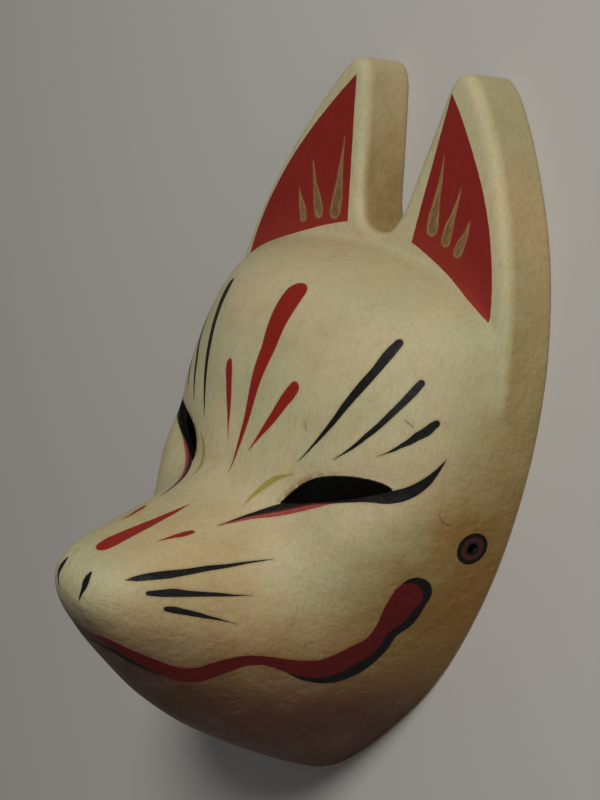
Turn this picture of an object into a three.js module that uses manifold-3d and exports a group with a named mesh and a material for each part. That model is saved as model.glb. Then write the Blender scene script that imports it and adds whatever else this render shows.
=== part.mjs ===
// Fox mask of moulded paper, lying face up on its rim.
// Millimetres. The rim stands on z = 0, +Z looks out of the face, +Y runs from chin to ear tips.
// +X is the wearer's left. The origin is the middle of the rim's bounding rectangle.
import * as THREE from 'three';
import { mergeVertices } from 'three/addons/utils/BufferGeometryUtils.js';
import Module from 'manifold-3d';

const wasm = await Module();
wasm.setup();

// Driving sizes, in millimetres
const maskHeight = 270;
const maskWidth = 167;
const maskDepth = 121.5;
const wall = 3;
const earDepth = 20;
const earEdgeRadius = 5;
const earDraft = 1.5;
const earTipRadius = 9;
const eyeLength = 43;
const eyeOpening = 8.4;
const eyeTilt = 21.1;
const eyeLean = 21;
const cordHoleDiameter = 3.5;
const cordHoleHeight = 14.5;

// How finely the form is divided
const outlineSteps = 5;
const earEdgeSteps = 4;
const faceRays = 60;
const faceRings = 20;
const eyeSteps = 12;
const boreSides = 16;
const cutReach = 60;
const skirtDrop = 6;
const tipShare = 0.72;
const leastRadius = 0.5;
const evenPasses = 6;

const halfWidth = maskWidth / 2;

// The rim's right half, as shares of the half width and of the height: chin to ear tip, then
// ear tip to notch. The tip between them is an arc.
const cheekSide = [
  [0, 0], [0.2, 0.021], [0.395, 0.07], [0.56, 0.127], [0.69, 0.18], [0.8, 0.242],
  [0.9, 0.325], [0.965, 0.41], [1, 0.52], [0.99, 0.61], [0.945, 0.695], [0.85, 0.79],
  [0.695, 0.885], [0.545, 0.955],
];
const notchSide = [[0.232, 0.944], [0.175, 0.87], [0.12, 0.803], [0.075, 0.78], [0, 0.774]];
const earTip = { across: 0.365, firstAngle: 42, lastAngle: 165, angleStep: 41 };

// Sections up the face: share of the height, then share of the depth, width or a power.
const faceRise = [
  [0, 0], [0.05, 0.285], [0.12, 0.465], [0.235, 0.585], [0.35, 0.51],
  [0.47, 0.473], [0.6, 0.473], [0.7, 0.358], [0.785, 0],
];
const noseLine = [
  [0, 0], [0.063, 0.469], [0.14, 0.765], [0.205, 0.925], [0.27, 1], [0.304, 0.95],
  [0.333, 0.833], [0.367, 0.677], [0.404, 0.553], [0.452, 0.51], [0.5, 0.498], [0.55, 0.493],
  [0.61, 0.465],
];
const muzzleSpread = [[0, 0.55], [0.24, 0.48], [0.39, 0.35]];
const faceSquareness = [[0, 2.5], [0.2, 2.3], [0.425, 3.7], [0.61, 2.4], [0.785, 1.5]];
const muzzleSquareness = 3;
const edgeSquareness = 8;
const crown = { from: 0.61, top: 0.785, width: 0.995, power: 2.6 };
const cheek = { across: 0.75, up: 0.38, rise: 0.037, reach: 0.3, fadeUp: 0.075 };
const eyeHollow = { depth: 0.026, along: 0.29, across: 0.108 };
const eyePlace = { across: 0.564, up: 0.439 };
const eyeLids = { upper: 0.82, lower: 0.18, skew: 0.8, innerRoundness: 1.3, outerRoundness: 0.68 };
const cordHoleUp = 0.41;
const earPlateFrom = 0.45;
const faceCentreUp = 0.27;

// Place up the mask for a share of its height, with the chin at the bottom.
function up(share) {
  return (share - 0.5) * maskHeight;
}

// Natural cubic through [x, y] pairs, held at its end values.
function smoothCurve(pairs) {
  const count = pairs.length;
  const bend = new Array(count).fill(0);
  const sweep = new Array(count).fill(0);
  for (let i = 1; i < count - 1; i++) {
    const [x0, y0] = pairs[i - 1];
    const [x1, y1] = pairs[i];
    const [x2, y2] = pairs[i + 1];
    const share = (x1 - x0) / (x2 - x0);
    const pivot = share * bend[i - 1] + 2;
    bend[i] = (share - 1) / pivot;
    const turn = (y2 - y1) / (x2 - x1) - (y1 - y0) / (x1 - x0);
    sweep[i] = ((6 * turn) / (x2 - x0) - share * sweep[i - 1]) / pivot;
  }
  for (let i = count - 2; i > 0; i--) bend[i] = bend[i] * bend[i + 1] + sweep[i];
  bend[0] = 0;
  return (x) => {
    const at = Math.min(Math.max(x, pairs[0][0]), pairs[count - 1][0]);
    let i = 0;
    while (i < count - 2 && at > pairs[i + 1][0]) i++;
    const [x0, y0] = pairs[i];
    const [x1, y1] = pairs[i + 1];
    const span = x1 - x0;
    const a = (x1 - at) / span;
    const b = (at - x0) / span;
    const arch = (a ** 3 - a) * bend[i] + (b ** 3 - b) * bend[i + 1];
    return a * y0 + b * y1 + (arch * span ** 2) / 6;
  };
}

const scaledUp = (pairs, size) => pairs.map(([share, value]) => [up(share), value * size]);
const riseAt = smoothCurve(scaledUp(faceRise, maskDepth));
const noseAt = smoothCurve(scaledUp(noseLine, maskDepth));
const spreadAt = smoothCurve(scaledUp(muzzleSpread, halfWidth));
const powerAt = smoothCurve(scaledUp(faceSquareness, 1));

// Round tip of the right ear, from its outer side over the top.
function earTipArc() {
  const points = [];
  for (let turn = earTip.firstAngle; turn <= earTip.lastAngle; turn += earTip.angleStep) {
    const angle = THREE.MathUtils.degToRad(turn);
    points.push([
      earTip.across * halfWidth + earTipRadius * Math.cos(angle),
      up(1) - earTipRadius + earTipRadius * Math.sin(angle),
    ]);
  }
  return points;
}

// Closed rim outline, anticlockwise from the chin, as [x, y].
function rimOutline() {
  const place = ([across, height]) => [across * halfWidth, up(height)];
  const right = [...cheekSide.map(place), ...earTipArc(), ...notchSide.map(place)];
  const left = right.slice(1, -1).reverse().map(([x, y]) => [-x, y]);
  const knots = [...right, ...left].map(([x, y]) => new THREE.Vector3(x, y, 0));
  const curve = new THREE.CatmullRomCurve3(knots, true, 'centripetal');
  const count = knots.length * outlineSteps;
  const points = [];
  for (let i = 0; i < count; i++) {
    const { x, y } = curve.getPoint(i / count);
    points.push([x, y]);
  }
  return points;
}

const rim = rimOutline();

// Half width of the rim at a height up the face, for the stretch below the ears.
function rimHalfWidth(y) {
  for (let i = 1; i < rim.length; i++) {
    const [x0, y0] = rim[i - 1];
    const [x1, y1] = rim[i];
    if (y0 <= y && y < y1) return x0 + ((x1 - x0) * (y - y0)) / (y1 - y0);
  }
  return 0;
}

// Half width of the face dome: the rim at the cheeks, then the round crown under the ears.
function faceHalfWidth(y) {
  const from = up(crown.from);
  if (y < from) return rimHalfWidth(y);
  const share = Math.min((y - from) / (up(crown.top) - from), 1);
  const arc = crown.width * halfWidth * Math.sqrt(1 - share ** crown.power);
  return Math.min(arc, rimHalfWidth(y) || arc);
}

// The eye's own directions, along the slit and across it, from a point beside it.
function eyeCoordinates(x, y) {
  const tilt = THREE.MathUtils.degToRad(eyeTilt);
  const dx = Math.abs(x) - eyePlace.across * halfWidth;
  const dy = y - up(eyePlace.up);
  const along = dx * Math.cos(tilt) + dy * Math.sin(tilt);
  const across = dy * Math.cos(tilt) - dx * Math.sin(tilt);
  return [along, across];
}

// Height of the face over the rim's plane.
function faceHeight(x, y) {
  const share = Math.min(Math.abs(x) / Math.max(faceHalfWidth(y), 0.001), 1);
  const rise = Math.max(riseAt(y), 0);
  const base = rise * Math.sqrt(1 - share ** powerAt(y));
  const edge = Math.sqrt(1 - share ** edgeSquareness);
  const muzzle = Math.max(noseAt(y) - rise, 0) * (y < up(noseLine.at(-1)[0]) ? 1 : 0);
  const muzzleFall = Math.exp(-((Math.abs(x) / spreadAt(y)) ** muzzleSquareness));
  const cheekX = (Math.abs(x) - cheek.across * halfWidth) / (cheek.reach * halfWidth);
  const cheekY = (y - up(cheek.up)) / (cheek.reach * halfWidth);
  const cheekFade = Math.min(Math.max((y - up(0)) / (cheek.fadeUp * maskHeight), 0), 1);
  const cheekRise = cheek.rise * maskDepth * cheekFade * Math.exp(-(cheekX ** 2) - cheekY ** 2);
  const [along, across] = eyeCoordinates(x, y);
  const hollowAlong = along / (eyeHollow.along * halfWidth);
  const hollowAcross = across / (eyeHollow.across * halfWidth);
  const hollow = eyeHollow.depth * maskDepth * Math.exp(-(hollowAlong ** 2) - hollowAcross ** 2);
  return Math.max(base + edge * (muzzle * muzzleFall + cheekRise - hollow), 0);
}

// Indexed mesh from points and triangles.
function meshOf(points, triangles) {
  const geometry = new THREE.BufferGeometry();
  geometry.setAttribute('position', new THREE.Float32BufferAttribute(points.flat(), 3));
  geometry.setIndex(triangles.flat());
  return geometry;
}

// Closed geometry to a solid that can be joined and cut.
function solidOf(geometry) {
  const bare = geometry.clone();
  bare.deleteAttribute('normal');
  bare.deleteAttribute('uv');
  const merged = mergeVertices(bare, 1e-4);
  const vertProperties = new Float32Array(merged.attributes.position.array);
  const triVerts = new Uint32Array(merged.index.array);
  return new wasm.Manifold(new wasm.Mesh({ numProp: 3, vertProperties, triVerts }));
}

// Side walls between rings of equal count, listed from the bottom ring up.
function ringWalls(ringCount, pointCount) {
  const triangles = [];
  for (let ring = 0; ring < ringCount - 1; ring++) {
    for (let i = 0; i < pointCount; i++) {
      const next = (i + 1) % pointCount;
      const a = ring * pointCount + i;
      const b = ring * pointCount + next;
      triangles.push([a, b, b + pointCount], [a, b + pointCount, a + pointCount]);
    }
  }
  return triangles;
}

// Inward direction at each point of the rim, evened out so that tight bends move in less.
function inwardDirections() {
  const count = rim.length;
  let directions = rim.map((point, i) => {
    const [x0, y0] = rim[(i + count - 1) % count];
    const [x1, y1] = rim[(i + 1) % count];
    const length = Math.hypot(x1 - x0, y1 - y0);
    return [(y0 - y1) / length, (x1 - x0) / length];
  });
  for (let pass = 0; pass < evenPasses; pass++) {
    directions = directions.map((own, i) => {
      const before = directions[(i + count - 1) % count];
      const after = directions[(i + 1) % count];
      return own.map((value, k) => (before[k] + 2 * value + after[k]) / 4);
    });
  }
  return directions;
}

const inward = inwardDirections();

// The rim's stretch round the ears, moved inwards by a distance.
function earOutline(distance) {
  const moved = rim.map(([x, y], i) => [x + distance * inward[i][0], y + distance * inward[i][1]]);
  return moved.filter((point, i) => rim[i][1] > up(earPlateFrom));
}

// Ear plate: the rim's upper stretch raised to the ears' front, with a rounded front edge.
function earPlate(inset, bottom) {
  const edgeLimit = earTipRadius * tipShare - earDraft;
  const radius = Math.max(Math.min(earEdgeRadius, edgeLimit) - inset, leastRadius);
  const shoulder = earDepth - inset - radius;
  const levels = [[inset, bottom], [inset, 0]];
  for (let i = 0; i <= earEdgeSteps; i++) {
    const angle = (i / earEdgeSteps) * (Math.PI / 2);
    levels.push([
      inset + earDraft + radius * (1 - Math.cos(angle)),
      shoulder + radius * Math.sin(angle),
    ]);
  }
  if (bottom === 0) levels.shift();
  const rings = levels.map(([distance]) => earOutline(distance));
  const points = rings.flatMap((ring, k) => ring.map(([x, y]) => [x, y, levels[k][1]]));
  const triangles = ringWalls(levels.length, rings[0].length);
  const contour = rings.at(-1).map(([x, y]) => new THREE.Vector2(x, y));
  const topStart = (levels.length - 1) * rings[0].length;
  for (const [a, b, c] of THREE.ShapeUtils.triangulateShape(contour, [])) {
    triangles.push([a + topStart, b + topStart, c + topStart]);
  }
  const base = rings[0].map(([x, y]) => new THREE.Vector2(x, y));
  for (const [a, b, c] of THREE.ShapeUtils.triangulateShape(base, [])) {
    triangles.push([c, b, a]);
  }
  return solidOf(meshOf(points, triangles));
}

// Distance from the face's centre to the dome's edge in a direction.
function edgeReach(angle) {
  const centre = up(faceCentreUp);
  let near = 0;
  let far = maskHeight;
  for (let step = 0; step < 40; step++) {
    const middle = (near + far) / 2;
    const y = centre + middle * Math.sin(angle);
    const inside = y > up(0) && y < up(crown.top)
      && Math.abs(middle * Math.cos(angle)) < faceHalfWidth(y);
    if (inside) near = middle;
    else far = middle;
  }
  return near;
}

// Rings of the face's surface, the edge ring first and the centre last.
function faceSurface() {
  const centre = up(faceCentreUp);
  const points = [];
  for (let ring = faceRings; ring > 0; ring--) {
    const share = Math.sin((ring / faceRings) * (Math.PI / 2));
    for (let ray = 0; ray < faceRays; ray++) {
      const angle = (ray / faceRays) * Math.PI * 2;
      const reach = edgeReach(angle) * share;
      const x = reach * Math.cos(angle);
      const y = centre + reach * Math.sin(angle);
      points.push([x, y, ring === faceRings ? 0 : faceHeight(x, y)]);
    }
  }
  points.push([0, centre, faceHeight(0, centre)]);
  return points;
}

// Face dome as a closed solid, moved inwards by a distance and let down to a flat bottom.
function faceDome(inset, bottom) {
  let points = faceSurface();
  const triangles = ringWalls(faceRings, faceRays);
  const lastRing = (faceRings - 1) * faceRays;
  const tip = faceRings * faceRays;
  for (let i = 0; i < faceRays; i++) {
    triangles.push([lastRing + i, lastRing + ((i + 1) % faceRays), tip]);
  }
  if (inset > 0) {
    const surface = meshOf(points, triangles);
    surface.computeVertexNormals();
    const normal = surface.attributes.normal;
    points = points.map(([x, y, z], i) => {
      const flat = i < faceRays ? Math.hypot(normal.getX(i), normal.getY(i)) : 1;
      const fall = i < faceRays ? 0 : normal.getZ(i);
      return [
        x - (inset * normal.getX(i)) / flat,
        y - (inset * normal.getY(i)) / flat,
        z - inset * fall,
      ];
    });
  }
  if (bottom < 0) {
    const skirtStart = points.length;
    for (let i = 0; i < faceRays; i++) points.push([points[i][0], points[i][1], bottom]);
    for (let i = 0; i < faceRays; i++) {
      const next = (i + 1) % faceRays;
      triangles.push([skirtStart + i, skirtStart + next, next], [skirtStart + i, next, i]);
    }
    points.push([0, up(faceCentreUp), bottom]);
    for (let i = 0; i < faceRays; i++) {
      triangles.push([skirtStart + ((i + 1) % faceRays), skirtStart + i, points.length - 1]);
    }
  } else {
    points.push([0, up(faceCentreUp), 0]);
    for (let i = 0; i < faceRays; i++) triangles.push([(i + 1) % faceRays, i, points.length - 1]);
  }
  return solidOf(meshOf(points, triangles));
}

// Edge of a lid at a share of the slit's length, highest a little inside its middle and
// drawn out finer towards the nose.
function lidEdge(share, lid) {
  const middle = 2 * share ** eyeLids.skew - 1;
  const roundness = middle < 0 ? eyeLids.innerRoundness : eyeLids.outerRoundness;
  return lid * eyeOpening * Math.max(1 - middle ** 2, 0) ** roundness;
}

// Prism that cuts one eye's slit, standing on the face and leaning outwards.
function eyeCut(side) {
  const outline = new THREE.Shape();
  outline.moveTo(-eyeLength / 2, 0);
  for (let i = 1; i <= eyeSteps; i++) {
    const share = i / eyeSteps;
    outline.lineTo(eyeLength * (share - 0.5), -lidEdge(share, eyeLids.lower));
  }
  for (let i = eyeSteps - 1; i > 0; i--) {
    const share = i / eyeSteps;
    outline.lineTo(eyeLength * (share - 0.5), lidEdge(share, eyeLids.upper));
  }
  const prism = new THREE.ExtrudeGeometry(outline, { depth: cutReach, bevelEnabled: false });
  const tilt = THREE.MathUtils.degToRad(eyeTilt);
  const lean = THREE.MathUtils.degToRad(eyeLean);
  prism.translate(0, 0, -cutReach / 2);
  prism.rotateZ(tilt);
  prism.rotateY(lean);
  const x = eyePlace.across * halfWidth;
  const y = up(eyePlace.up);
  prism.translate(x, y, faceHeight(x, y));
  const right = solidOf(prism);
  return side > 0 ? right : right.mirror([1, 0, 0]);
}

// Bore for the tying cord through both side walls of the face.
function cordBores() {
  const bore = new THREE.CylinderGeometry(
    cordHoleDiameter / 2, cordHoleDiameter / 2, maskWidth * 1.2, boreSides);
  bore.rotateZ(Math.PI / 2);
  bore.translate(0, up(cordHoleUp), cordHoleHeight);
  return solidOf(bore);
}

// The one moulded piece, hollow behind.
function maskShell() {
  const outer = faceDome(0, 0).add(earPlate(0, 0));
  const hollow = faceDome(wall, -skirtDrop).add(earPlate(wall, -skirtDrop));
  const shell = outer
    .subtract(hollow)
    .subtract(eyeCut(1))
    .subtract(eyeCut(-1))
    .subtract(cordBores());
  const { vertProperties, triVerts } = shell.getMesh();
  const geometry = new THREE.BufferGeometry();
  geometry.setAttribute('position', new THREE.BufferAttribute(vertProperties, 3));
  geometry.setIndex(new THREE.BufferAttribute(triVerts, 1));
  geometry.computeVertexNormals();
  return geometry;
}

// Cream whitewash over paper, with a low sheen.
function whitewashedPaper() {
  return new THREE.MeshStandardMaterial({ color: 0xb8ab86, roughness: 0.55, metalness: 0 });
}

const mask = new THREE.Group();
const shell = new THREE.Mesh(maskShell(), whitewashedPaper());
shell.name = 'mask_shell';
mask.add(shell);

export default mask;
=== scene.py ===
from math import cos, pi, radians, sin

import bpy
import numpy as np
from mathutils import Matrix, Vector
from mathutils.geometry import delaunay_2d_cdt


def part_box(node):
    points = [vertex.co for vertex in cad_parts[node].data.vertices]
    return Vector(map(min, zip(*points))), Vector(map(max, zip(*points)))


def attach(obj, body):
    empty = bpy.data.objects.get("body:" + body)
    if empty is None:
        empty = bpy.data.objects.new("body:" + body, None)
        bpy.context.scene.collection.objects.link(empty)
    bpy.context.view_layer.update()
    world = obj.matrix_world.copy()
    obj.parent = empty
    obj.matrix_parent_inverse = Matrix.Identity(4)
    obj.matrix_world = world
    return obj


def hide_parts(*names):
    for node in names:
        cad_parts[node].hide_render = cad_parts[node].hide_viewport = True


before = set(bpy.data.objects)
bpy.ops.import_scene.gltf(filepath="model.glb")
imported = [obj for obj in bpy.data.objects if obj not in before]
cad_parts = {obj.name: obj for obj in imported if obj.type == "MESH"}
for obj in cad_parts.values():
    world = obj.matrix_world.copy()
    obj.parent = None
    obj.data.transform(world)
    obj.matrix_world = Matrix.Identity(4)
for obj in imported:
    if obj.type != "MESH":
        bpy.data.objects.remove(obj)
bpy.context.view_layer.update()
lowCorner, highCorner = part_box("mask_shell")
maskWidth = highCorner.x - lowCorner.x
maskHeight = highCorner.y - lowCorner.y
maskDepth = highCorner.z - lowCorner.z
halfWidth = maskWidth / 2
mm = 0.001

print("stage 1: the mask's form")

# Moulded form. Shares are of the half width across, of the height up, of the depth out.
form = {
    "wall": 3 * mm,
    "earDepth": 20 * mm,
    "earEdgeRadius": 5 * mm,
    "earDraft": 1.5 * mm,
    "earTipRadius": 9 * mm,
    "earFold": 5 * mm,  # how softly the ears fold into the crown
    "rimCorner": 0.8 * mm,
    "eyeLength": 43 * mm,
    "eyeOpening": 8.4 * mm,
    "eyeTilt": radians(21.1),
    "eyeLean": radians(21),
    "eyePlace": (0.564, 0.439),
    "lids": {"upper": 0.82, "lower": 0.18, "skew": 0.8, "inner": 1.3, "outer": 0.68},
    "cordHoleWidth": 3.5 * mm,
    "cordHoleOut": 14.5 * mm,
    "cordHoleUp": 0.41,
}

# How finely it is divided
division = {
    "rimStep": 1.35 * mm,
    "wallRows": 26,
    "wallReach": 6.6 * mm,
    "faceStep": 1.5 * mm,
    "rowGap": 0.8660254,  # of the step, for even-sided triangles
    "steepFrom": 0.9,
    "eyeSteps": 44,
}

# Outline of the rim on one side: up the cheek to the ear, then down the notch beside it
cheekSide = [
    (0, 0), (0.2, 0.021), (0.395, 0.07), (0.56, 0.127), (0.69, 0.18), (0.8, 0.242),
    (0.9, 0.325), (0.965, 0.41), (1, 0.52), (0.99, 0.61), (0.945, 0.695), (0.85, 0.79),
    (0.695, 0.885), (0.545, 0.955),
]
notchSide = [(0.232, 0.944), (0.175, 0.87), (0.12, 0.803), (0.075, 0.78), (0, 0.774)]
earTip = {"across": 0.365, "angles": (42, 83, 124, 165)}

# Height of the face, and of the line along brow and nose, at shares of the mask's height
faceRise = [
    (0, 0), (0.05, 0.285), (0.12, 0.465), (0.235, 0.585), (0.35, 0.51),
    (0.47, 0.473), (0.6, 0.473), (0.7, 0.358), (0.785, 0),
]
noseLine = [
    (0, 0), (0.063, 0.469), (0.14, 0.765), (0.205, 0.925), (0.27, 1), (0.304, 0.95),
    (0.333, 0.833), (0.367, 0.677), (0.404, 0.553), (0.452, 0.51), (0.5, 0.498), (0.55, 0.493),
    (0.61, 0.465),
]
muzzleSpread = [(0, 0.55), (0.24, 0.48), (0.39, 0.35)]
faceSquareness = [(0, 2.5), (0.2, 2.3), (0.425, 3.7), (0.61, 2.4), (0.785, 1.5)]
crown = {"from": 0.61, "top": 0.785, "width": 0.995, "power": 2.6}
cheek = {"across": 0.75, "up": 0.38, "rise": 0.037, "reach": 0.3, "fadeUp": 0.075}
eyeHollow = {"depth": 0.026, "along": 0.29, "across": 0.108}


def up(share):
    return (share - 0.5) * maskHeight


# Natural cubic through pairs of (share of the height, value), held at its ends
def smoothCurve(pairs, size):
    knots = np.array([up(share) for share, value in pairs])
    values = np.array([value * size for share, value in pairs])
    count = len(knots)
    gaps = np.diff(knots)
    matrix = np.eye(count)
    turns = np.zeros(count)
    for i in range(1, count - 1):
        matrix[i, i - 1 : i + 2] = gaps[i - 1], 2 * (gaps[i - 1] + gaps[i]), gaps[i]
        turns[i] = 6 * ((values[i + 1] - values[i]) / gaps[i] - (values[i] - values[i - 1]) / gaps[i - 1])
    bend = np.linalg.solve(matrix, turns)

    def at(y):
        held = np.clip(y, knots[0], knots[-1])
        i = np.clip(np.searchsorted(knots, held) - 1, 0, count - 2)
        a = (knots[i + 1] - held) / gaps[i]
        b = 1 - a
        arch = (a**3 - a) * bend[i] + (b**3 - b) * bend[i + 1]
        return a * values[i] + b * values[i + 1] + arch * gaps[i] ** 2 / 6

    return at


riseAt = smoothCurve(faceRise, maskDepth)
noseAt = smoothCurve(noseLine, maskDepth)
spreadAt = smoothCurve(muzzleSpread, halfWidth)
powerAt = smoothCurve(faceSquareness, 1)


# Centripetal curve through points, closed or open, with a number of steps a span
def throughPoints(points, closed, steps):
    points = np.asarray(points, float)
    count = len(points)
    spans = count if closed else count - 1
    made = []
    for i in range(spans):
        if closed:
            p = points[[(i - 1) % count, i, (i + 1) % count, (i + 2) % count]]
        else:
            before = points[i - 1] if i > 0 else 2 * points[0] - points[1]
            after = points[i + 2] if i + 2 < count else 2 * points[-1] - points[-2]
            p = np.array([before, points[i], points[i + 1], after])
        gaps = np.maximum(np.linalg.norm(np.diff(p, axis=0), axis=1) ** 0.5, 1e-6)
        t0, t1 = 0, gaps[0]
        t2, t3 = gaps[0] + gaps[1], gaps.sum()
        for t in np.linspace(t1, t2, steps, endpoint=False):
            a1 = ((t1 - t) * p[0] + (t - t0) * p[1]) / (t1 - t0)
            a2 = ((t2 - t) * p[1] + (t - t1) * p[2]) / (t2 - t1)
            a3 = ((t3 - t) * p[2] + (t - t2) * p[3]) / (t3 - t2)
            b1 = ((t2 - t) * a1 + (t - t0) * a2) / (t2 - t0)
            b2 = ((t3 - t) * a2 + (t - t1) * a3) / (t3 - t1)
            made.append(((t2 - t) * b1 + (t - t1) * b2) / (t2 - t1))
    if not closed:
        made.append(points[-1])
    return np.array(made)


# How far along a line each of its points is
def runAlong(line):
    return np.concatenate([[0], np.cumsum(np.linalg.norm(np.diff(line, axis=0), axis=1))])


# Points at even steps along a line of points
def evenly(points, step, closed):
    if closed:
        points = np.vstack([points, points[:1]])
    run = runAlong(points)
    count = max(int(round(run[-1] / step)), 2)
    at = np.linspace(0, run[-1], count + 1)
    made = np.column_stack([np.interp(at, run, points[:, k]) for k in range(points.shape[1])])
    return made[:-1] if closed else made


def rimOutline():
    right = [(across * halfWidth, up(height)) for across, height in cheekSide]
    for angle in earTip["angles"]:
        turn = radians(angle)
        right.append((
            earTip["across"] * halfWidth + form["earTipRadius"] * cos(turn),
            up(1) - form["earTipRadius"] * (1 - sin(turn)),
        ))
    right += [(across * halfWidth, up(height)) for across, height in notchSide]
    left = [(-x, y) for x, y in right[-2:0:-1]]
    return evenly(throughPoints(right + left, True, 14), division["rimStep"], True)


rim = rimOutline()
rimCount = len(rim)
cheekEnd = int(np.argmax(rim[:, 1] > up(0.9)))
cheekRim = rim[: cheekEnd + 1]


def rimHalfWidth(y):
    return np.interp(y, cheekRim[:, 1], cheekRim[:, 0])


# Half width of the face: the rim at the cheeks, then the round crown under the ears
def faceHalfWidth(y):
    share = np.clip((y - up(crown["from"])) / (up(crown["top"]) - up(crown["from"])), 0, 1)
    arc = crown["width"] * halfWidth * np.sqrt(1 - share ** crown["power"])
    return np.where(y < up(crown["from"]), rimHalfWidth(y), np.minimum(arc, rimHalfWidth(y)))


def eyeCoordinates(x, y):
    tilt = form["eyeTilt"]
    dx = np.abs(x) - form["eyePlace"][0] * halfWidth
    dy = y - up(form["eyePlace"][1])
    return dx * cos(tilt) + dy * sin(tilt), dy * cos(tilt) - dx * sin(tilt)


# Height of the bare face over the rim's plane
def faceHeight(x, y):
    across = np.abs(x)
    share = np.minimum(across / np.maximum(faceHalfWidth(y), mm), 1)
    rise = np.maximum(riseAt(y), 0)
    base = rise * np.sqrt(1 - share ** powerAt(y))
    edge = np.sqrt(1 - share**8)
    muzzle = np.where(y < up(noseLine[-1][0]), np.maximum(noseAt(y) - rise, 0), 0)
    muzzle = muzzle * np.exp(-((across / spreadAt(y)) ** 3))
    cheekX = (across - cheek["across"] * halfWidth) / (cheek["reach"] * halfWidth)
    cheekY = (y - up(cheek["up"])) / (cheek["reach"] * halfWidth)
    cheekFade = np.clip((y - up(0)) / (cheek["fadeUp"] * maskHeight), 0, 1)
    cheekRise = cheek["rise"] * maskDepth * cheekFade * np.exp(-(cheekX**2) - cheekY**2)
    along, beside = eyeCoordinates(x, y)
    along = along / (eyeHollow["along"] * halfWidth)
    beside = beside / (eyeHollow["across"] * halfWidth)
    hollow = eyeHollow["depth"] * maskDepth * np.exp(-(along**2) - beside**2)
    return np.maximum(base + edge * (muzzle + cheekRise - hollow), 0)


# Height of the ears' front at a distance inside the rim, faded out below the ears
def earHeight(inset, y):
    radius = form["earEdgeRadius"]
    shoulder = form["earDepth"] - radius
    wallPart = np.clip(inset / form["earDraft"], 0, 1) * shoulder
    turn = np.clip((inset - form["earDraft"]) / radius, 0, 1)
    height = wallPart + radius * np.sqrt(np.clip(1 - (1 - turn) ** 2, 0, 1))
    shown = np.clip((y - up(0.5)) / (up(0.6) - up(0.5)), 0, 1)
    return height * shown * shown * (3 - 2 * shown)


def softMaximum(a, b, reach):
    mix = np.clip(0.5 + 0.5 * (a - b) / reach, 0, 1)
    return b + (a - b) * mix + reach * mix * (1 - mix)


def shellHeight(x, y, inset):
    face = faceHeight(x, y)
    ear = earHeight(inset, y)
    fold = form["earFold"] * np.clip(np.minimum(face, ear) / form["earDepth"], 0, 1) ** 2
    return softMaximum(face, ear, np.maximum(fold, 1e-6))


# Inward direction at each rim point, evened out so that tight bends move in less
def inwardDirections():
    ahead = np.roll(rim, -1, axis=0) - np.roll(rim, 1, axis=0)
    length = np.linalg.norm(ahead, axis=1)[:, None]
    inward = np.column_stack([-ahead[:, 1], ahead[:, 0]]) / length
    for _ in range(48):
        inward = (np.roll(inward, 1, axis=0) + 2 * inward + np.roll(inward, -1, axis=0)) / 4
    return inward


inward = inwardDirections()


# Rows of points from the rim up the side walls and over the edge, evenly spaced
def wallBand():
    depths = division["wallReach"] * np.linspace(0, 1, 90) ** 3
    rows = np.zeros((division["wallRows"], rimCount, 3))
    for i in range(rimCount):
        x = rim[i, 0] + depths * inward[i, 0]
        y = rim[i, 1] + depths * inward[i, 1]
        z = shellHeight(x, y, depths)
        z[0] = 0
        line = np.column_stack([x, y, z])
        start = np.interp(form["rimCorner"], z, np.arange(len(z)))
        first = [np.interp(start, np.arange(len(z)), line[:, k]) for k in range(3)]
        line = np.vstack([first, line[int(start) + 1 :]])
        run = runAlong(line)
        at = np.linspace(0, run[-1], division["wallRows"])
        for k in range(3):
            rows[:, i, k] = np.interp(at, run, line[:, k])
    return rows


def eyeOutline(side):
    lids = form["lids"]
    count = division["eyeSteps"]
    share = np.linspace(0, 1, count + 1)
    middle = 2 * share ** lids["skew"] - 1
    roundness = np.where(middle < 0, lids["inner"], lids["outer"])
    lid = form["eyeOpening"] * np.maximum(1 - middle**2, 0) ** roundness
    along = form["eyeLength"] * (np.concatenate([share, share[-2:0:-1]]) - 0.5)
    beside = np.concatenate([-lids["lower"] * lid, lids["upper"] * lid[-2:0:-1]])
    tilt = form["eyeTilt"]
    lean = form["eyeLean"]
    flat = along * cos(tilt) - beside * sin(tilt)
    middleX = form["eyePlace"][0] * halfWidth
    middleY = up(form["eyePlace"][1])
    y = middleY + along * sin(tilt) + beside * cos(tilt)
    x = middleX + flat * cos(lean)
    # the slit is cut straight in along the lean, so its edge lies where that cut leaves the face
    for _ in range(10):
        out = (faceHeight(x, y) - faceHeight(middleX, middleY) + flat * sin(lean)) / cos(lean)
        x = middleX + flat * cos(lean) + out * sin(lean)
    outline = evenly(np.column_stack([x, y]), 0.9 * mm, True)
    return outline * (side, 1)


def insideOutline(points, outline):
    x, y = points[:, 0], points[:, 1]
    inside = np.zeros(len(points), bool)
    nearby = np.full(len(points), 1.0)
    for (x0, y0), (x1, y1) in zip(outline, np.roll(outline, -1, axis=0)):
        crosses = (y0 > y) != (y1 > y)
        reach = x0 + (x1 - x0) * (y - y0) / (y1 - y0 if y1 != y0 else 1e-12)
        inside ^= crosses & (x < reach)
        nearby = np.minimum(nearby, np.hypot(x - x0, y - y0))
    return inside, nearby


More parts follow.
